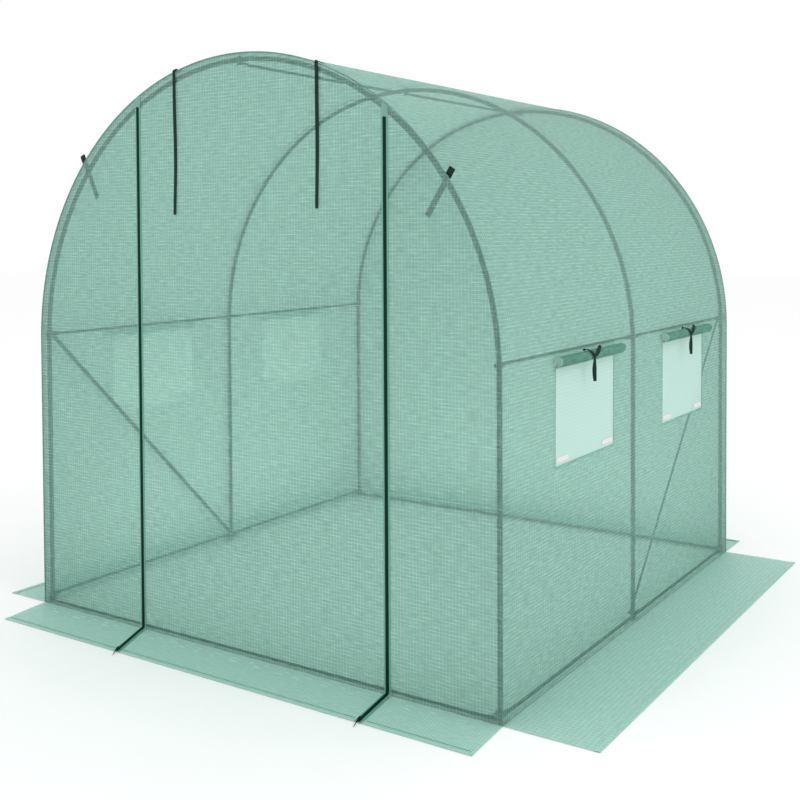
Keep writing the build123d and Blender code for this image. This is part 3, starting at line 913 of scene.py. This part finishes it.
def make_hoop_ties(material):
    """Two short ties through the front seam: a folded tab outside, a tail past the hoop inside."""
    shape = Shape()
    y = HOOP_YS[0] - TUBE_RADIUS - HOOP_TIE_GAP
    for side, angle in HOOP_TIE_ANGLES.items():
        turn = math.radians(angle)
        lean = math.radians(angle + HOOP_TIE_LEAN)
        way = Vector((side * math.cos(lean), 0, math.sin(lean)))
        across = Vector((side * math.sin(lean), 0, -math.cos(lean)))
        spring = Vector((CENTRE_X, y, SPRING_Z))
        root = spring + Vector((side * math.cos(turn), 0, math.sin(turn))) * OUTER_RADIUS
        forward = Vector((0, -HOOP_TIE_LOOP, 0))
        tip = root + way * HOOP_TIE_TABS[side]
        loop = [root, tip, tip + forward, root + forward]
        ribbon(shape, loop, across, HOOP_TIE_WIDTH, STRAP)
        tail = [root - way * HOOP_TIE_TAIL * step / HOOP_TIE_STEPS for step in range(HOOP_TIE_STEPS + 1)]
        ribbon(shape, tail, across, HOOP_TIE_WIDTH, STRAP)
    ties = shape.piece("hoop_straps", [material], ("hoop_ties",), smooth=False)


def roll_spot(side, centre, y, angle, stand):
    """A place on a rolled flap at an angle round it, a little off its face."""
    reach = ROLL_RADIUS * roll_size(y, centre) + stand
    x = CENTRE_X + side * (ROLL_OUT + reach * math.cos(angle))
    return Vector((x, y, ROLL_Z + reach * math.sin(angle)))


def make_roll_ties(material):
    """A tie over each rolled flap: two arms from the top seam that meet in front, and a tail."""
    shape = Shape()
    top = math.radians(ROLL_TIE_TOP)
    meet = math.radians(ROLL_TIE_MEET)
    for side in SIDES.values():
        for centre in WINDOW_YS:
            middle = centre + ROLL_TIE_SHIFT
            for way, arm in ROLL_TIE_ARMS.items():
                path = []
                across = []
                widths = []
                for step in range(ROLL_TIE_STEPS + 1):
                    share = step / ROLL_TIE_STEPS
                    y = middle + way * arm * (1 - share) ** ARM_CURVE
                    angle = top + (meet - top) * share
                    stand = ROLL_TIE_STAND + way * STRAP / 2 * share
                    path.append(roll_spot(side, centre, y, angle, stand))
                    widths.append(ROLL_TIE_ARM + (ROLL_TIE_WIDTH - ROLL_TIE_ARM) * share / 2)
                for step, place in enumerate(path):
                    radial = Vector((place.x - CENTRE_X - side * ROLL_OUT, 0, place.z - ROLL_Z))
                    across.append(run_at(path, step).cross(radial))
                ribbon(shape, path, across, widths, STRAP)
                knob = Matrix.Translation(path[0]) @ Matrix.Rotation(math.pi / 2, 4, "X")
                bead = []
                for step in range(KNOB_STEPS + 1):
                    share = knob_shares[0] + (knob_shares[1] - knob_shares[0]) * step / KNOB_STEPS
                    turn = math.pi * share
                    bead.append((KNOB_RADIUS * math.sin(turn), -KNOB_RADIUS * math.cos(turn)))
                lathe(shape, bead, KNOB_SIDES, knob)
            start = roll_spot(side, centre, middle, meet, ROLL_TIE_STAND + STRAP)
            tail = []
            across = []
            widths = []
            for step in range(ROLL_TIE_STEPS + 1):
                share = step / ROLL_TIE_STEPS
                curl = ROLL_TIE_CURL * (share**CURL_CURVE - math.sin(math.pi * share) / 2)
                drop = (ROLL_TIE_TAIL + ROLL_RADIUS) * share
                tail.append(start + Vector((-side * ROLL_TIE_STAND * share, curl, -drop)))
                across.append(Vector((side * tail_turn_share * min(1.0, 2 * share), 1, 0)))
                full = tail_width_share + (1 - tail_width_share) * math.sin(math.pi * share)
                widths.append(ROLL_TIE_WIDTH * full)
            ribbon(shape, tail, across, widths, STRAP)
    ties = shape.piece("window_straps", [material], ("window_ties",), smooth=False)


def fastener(shape, place, out, outer, inner, wing_outside):
    """A bolt through a joint: a capped head on one side and a wing nut on the other."""
    out = Vector(out).normalized()
    seat = Matrix.Translation(Vector(place)) @ out.to_track_quat("Z", "Y").to_matrix().to_4x4()
    turned = seat @ Matrix.Rotation(math.pi, 4, "X")
    nut_seat, nut_reach = (seat, outer) if wing_outside else (turned, inner)
    cap_seat, cap_reach = (turned, inner) if wing_outside else (seat, outer)
    stem = [(BOLT_RADIUS, -cap_reach), (BOLT_RADIUS, nut_reach + STEM_PROUD)]
    lathe(shape, stem, STEM_SIDES, nut_seat)
    nut = nut_seat @ Matrix.Translation((0, 0, nut_reach))
    hub = [(NUT_RADIUS, 0.0), (NUT_RADIUS, NUT_HEIGHT), (NUT_NECK_RADIUS, NUT_NECK_HEIGHT)]
    lathe(shape, hub, NUT_SIDES, nut)
    upright = nut @ Matrix.Rotation(math.pi / 2, 4, "X")
    wing = WING_LOW + WING_HIGH
    for way in (-1, 1):
        prism(shape, [(way * x, y) for x, y in wing[::way]], WING_THICK, upright)
    cap = cap_seat @ Matrix.Translation((0, 0, cap_reach))
    lathe(shape, [(NUT_RADIUS, 0.0), (NUT_RADIUS, CAP_BASE)], CAP_SIDES, cap)
    dome = []
    for step in range(DOME_STEPS):
        angle = math.pi / 2 * step / DOME_STEPS
        dome.append((DOME_RADIUS * math.cos(angle), CAP_BASE + DOME_RISE * math.sin(angle)))
    lathe(shape, dome, NUT_SIDES, cap)


def make_fasteners(material):
    """Bolts at the shoulders, the ridge and the ground rails."""
    shoulders = Shape()
    ridge = Shape()
    feet = Shape()
    braced = {(-1, HOOP_YS[0]), (1, HOOP_YS[2])}
    for y in HOOP_YS:
        middle = y == HOOP_YS[1]
        tabs = PAIR_SEAT if middle else TAB_SEAT
        for side in SIDES.values():
            out = Vector((side * math.cos(PURLIN_TILT), 0, math.sin(PURLIN_TILT)))
            shoulder = Vector((CENTRE_X, y, SPRING_Z)) + out * HOOP_RADIUS
            inner = BRACE_SEAT if (side, y) in braced else tabs
            fastener(shoulders, shoulder, out, TUBE_SEAT, inner, True)
            post_x = CENTRE_X + side * HOOP_RADIUS
            inner = TAB_SEAT if middle else TUBE_SEAT
            fastener(feet, (post_x, y, SIDE_RAIL_Z), (side, 0, 0), tabs, inner, False)
            if not middle:
                fastener(feet, (post_x, y, END_RAIL_Z), (0, y, 0), TAB_SEAT, TUBE_SEAT, False)
        fastener(ridge, (CENTRE_X, y, SPRING_Z + HOOP_RADIUS), (0, 0, 1), TUBE_SEAT, tabs, False)
    shoulders.piece("shoulder_bolts", [material], smooth=False)
    ridge.piece("ridge_bolts", [material], smooth=False)
    feet.piece("foot_bolts", [material], smooth=False)


def glint_thread_row(shape, y, x_from, x_to):
    """A row of raised threads across a skirt, uneven in length and spacing; their pale colour is a
    painted glint.
    """
    z = SKIRT_Z + GLINT_THREAD_RISE
    x = x_from + random.uniform(*GLINT_THREAD_GAPS)
    while x < x_to - GLINT_THREAD_LENGTHS[1]:
        length = random.uniform(*GLINT_THREAD_LENGTHS)
        path = [(x + length * share, y, z) for share, _ in glint_thread_shares]
        sweep(shape, path, [GLINT_AND_HEM_THREAD_RADIUS * share for _, share in glint_thread_shares])
        x += length + random.uniform(*GLINT_THREAD_GAPS)


def hem_line(shape, strip, inner, way):
    """A sewn line along the hem of an end skirt."""
    start, end, start_drift, end_drift = strip
    path = []
    for x in spaced([start + HEM_MARGIN, end - HEM_MARGIN], SKIRT_STEP):
        drift = start_drift + (end_drift - start_drift) * (x - start) / (end - start)
        path.append((x + drift * (1 - HEM / END_SKIRT), inner + way * (END_SKIRT - HEM), HEM_LINE_Z))
    sweep(shape, path, [GLINT_AND_HEM_THREAD_RADIUS] * len(path), coat=1)


def make_glint_threads_and_hems(materials):
    """Raised threads, pale as a painted glint, and hem lines on the front and rear skirts."""
    shape = Shape()
    left = CENTRE_X - OUTER_RADIUS
    right = CENTRE_X + OUTER_RADIUS
    front_stops = [left, ZIP_XS["left"], ZIP_XS["right"], right]
    for depth in GLINT_THREAD_DEPTHS:
        for start, end in zip(front_stops, front_stops[1:]):
            glint_thread_row(shape, FRONT_Y - depth, start + ZIP_TAPE + depth / 2, end - ZIP_TAPE)
        glint_thread_row(shape, REAR_Y + depth, left, right)
    for strip in front_strips:
        hem_line(shape, strip, FRONT_Y, -1)
    for strip in rear_strips:
        hem_line(shape, strip, REAR_Y, 1)
    shape.piece("skirt_glint_threads_and_hems", materials)


def make_seams(material):
    """Rounded seams where the roof and walls meet the ends."""
    shape = Shape()
    runs = spaced([SEAM_FOOT, SPRING_Z, COVER_RUN - SPRING_Z, COVER_RUN - SEAM_FOOT], SEAM_STEP)
    for y in (FRONT_Y, REAR_Y):
        points = []
        places = []
        for run in runs:
            x, z, out_x, out_z = over_the_tunnel(run)
            for turn in range(SEAM_SIDES):
                angle = 2 * math.pi * turn / SEAM_SIDES
                out = SEAM_RADIUS * math.cos(angle)
                points.append((x + out_x * out, y + SEAM_RADIUS * math.sin(angle), z + out_z * out))
                places.append((angle * SEAM_RADIUS, run))
        shape.add(points, ring_faces(len(runs), SEAM_SIDES), 0, places)
    shape.piece("end_seams", [material])


def make_lamp(name, place, aim, size, power):
    """A broad soft lamp at a place, aimed at another."""
    light = bpy.data.lights.new(name, "AREA")
    light.size = size
    light.energy = power
    lamp = bpy.data.objects.new(name, light)
    lamp.location = place
    lamp.rotation_euler = (Vector(aim) - Vector(place)).to_track_quat("-Z", "Y").to_euler()
    bpy.context.collection.objects.link(lamp)


def make_stage():
    """A pale floor, soft lamps and a white world."""
    mesh = bpy.data.meshes.new("studio_floor")
    count = len(FLOOR_STOPS)
    points = [(x, y, 0.0) for y in FLOOR_STOPS for x in FLOOR_STOPS]
    mesh.from_pydata(points, [], grid_faces(count, count))
    mesh.materials.append(solid_material("studio_floor"))
    floor = bpy.data.objects.new("studio_floor", mesh)
    bpy.context.collection.objects.link(floor)
    world = bpy.data.worlds.new("studio")
    bpy.context.scene.world = world
    world.use_nodes = True
    tree = world.node_tree
    tree.nodes.clear()
    output = node(tree, "ShaderNodeOutputWorld")
    light = node(tree, "ShaderNodeBackground", {"Color": WORLD_WHITE})
    tree.links.new(light.outputs["Background"], output.inputs["Surface"])
    make_lamp("key_lamp", KEY_PLACE, LAMP_AIM, LAMP_SIZE, KEY_POWER)
    make_lamp("fill_lamp", FILL_PLACE, LAMP_AIM, LAMP_SIZE, FILL_POWER)
    make_lamp("inner_lamp", INNER_PLACE, INNER_AIM, INNER_SIZE, INNER_POWER)


def make_camera():
    """The photograph's view."""
    turn = math.radians(CAMERA_TURN)
    rise = math.radians(CAMERA_RISE)
    back = Vector((math.sin(turn) * math.cos(rise), -math.cos(turn) * math.cos(rise), math.sin(rise)))
    roll = Matrix.Rotation(math.radians(CAMERA_ROLL), 3, "Z").to_quaternion()
    lens = bpy.data.cameras.new("camera")
    lens.sensor_width = CAMERA_SENSOR
    lens.lens = CAMERA_LENS
    lens.shift_x, lens.shift_y = CAMERA_SHIFT
    lens.clip_end = CAMERA_FAR
    camera = bpy.data.objects.new("camera", lens)
    camera.rotation_mode = "QUATERNION"
    camera.location = CAMERA_PLACE
    camera.rotation_quaternion = (-back).to_track_quat("-Z", "Y") @ roll
    bpy.context.collection.objects.link(camera)
    bpy.context.scene.camera = camera


cover_sheet = sheet_material("cover_sheet", THREAD_PITCH)
end_sheet = sheet_material("end_sheet", THREAD_PITCH)
skirt_sheet = sheet_material("skirt_sheet", THREAD_PITCH)
side_skirt_sheet = sheet_material("side_skirt_sheet", RIB_PITCH)
rolled_coats = [sheet_material(name, THREAD_PITCH) for name in ("rolled_sheet", "rolled_end_painted_light")]
screen_mesh = sheet_material("screen_mesh", THREAD_PITCH)
seam_sheet = sheet_material("seam_sheet", THREAD_PITCH)
zip_coats = [solid_material(name) for name in ("zip_tape", "zip_teeth", "tape_end")]
strap_web = solid_material("strap_web")
glint_and_hem_coats = [solid_material(name) for name in ("thread", "hem_thread")]
shaded_steel = solid_material("galvanised_tube_painted_shade")

left_x = CENTRE_X - OUTER_RADIUS
right_x = CENTRE_X + OUTER_RADIUS
panel_left = CENTRE_X - END_RADIUS
panel_right = CENTRE_X + END_RADIUS
front_y = FRONT_Y + END_DEPTH
seam_in = ZIP_TAPE / 2 - ZIP_LAP
outside_left = ZIP_XS["left"] - seam_in
door_left = ZIP_XS["left"] + seam_in
door_right = ZIP_XS["right"] - seam_in
outside_right = ZIP_XS["right"] + seam_in
front_strips = [
    (left_x, outside_left, SKIRT_LEFT_DRIFT, ZIP_DRIFTS["left"]),
    (door_left, door_right, ZIP_DRIFTS["left"], ZIP_DRIFTS["right"]),
    (outside_right, right_x, ZIP_DRIFTS["right"], SKIRT_RIGHT_DRIFT),
]
rear_strips = [(left_x, right_x, 0.0, 0.0)]
side_strips = [(FRONT_Y, REAR_Y, 0.0, 0.0)]
front_edge = FRONT_Y - END_SKIRT
rear_edge = REAR_Y + END_SKIRT
left_edge = left_x - LEFT_SKIRT
right_edge = right_x + RIGHT_SKIRT

make_cover(cover_sheet)
make_end("front_left_sheet", "front_left_panel", panel_left, outside_left, front_y, 1, end_sheet)
make_end("door_sheet", "door_panel", door_left, door_right, front_y, 1, end_sheet)
make_end("front_right_sheet", "front_right_panel", outside_right, panel_right, front_y, 1, end_sheet)
make_end("rear_sheet", "rear_panel", panel_left, panel_right, REAR_Y - END_DEPTH, -1, end_sheet)
make_skirt("front_ground_skirt", "front_skirt", front_strips, FRONT_Y, front_edge, "x", skirt_sheet)
make_skirt("rear_ground_skirt", "rear_skirt", rear_strips, REAR_Y, rear_edge, "x", skirt_sheet)
make_skirt("left_ground_skirt", "left_skirt", side_strips, left_x, left_edge, "y", side_skirt_sheet)
make_skirt("right_ground_skirt", "right_skirt", side_strips, right_x, right_edge, "y", side_skirt_sheet)
for side_name, side in SIDES.items():
    make_screens(side_name + "_screen_mesh", side_name + "_screens", side, screen_mesh)
    make_rolls(side_name + "_rolled_flaps", side_name + "_rolls", side, rolled_coats)
    drift = ZIP_DRIFTS[side_name]
    make_zip(side_name + "_zipper", side_name + "_zip", ZIP_XS[side_name], drift, zip_coats)
make_patches(solid_material("patch_felt"))
make_door_ties(strap_web)
make_hoop_ties(strap_web)
make_roll_ties(strap_web)
make_fasteners(solid_material("zinc_fasteners"))
make_glint_threads_and_hems(glint_and_hem_coats)
make_seams(seam_sheet)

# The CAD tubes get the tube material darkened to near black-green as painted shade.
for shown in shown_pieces():
    if "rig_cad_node" in shown:
        shown.data.materials.clear()
        shown.data.materials.append(shaded_steel)

make_stage()
make_camera()
bpy.context.scene.view_settings.view_transform = "Standard"
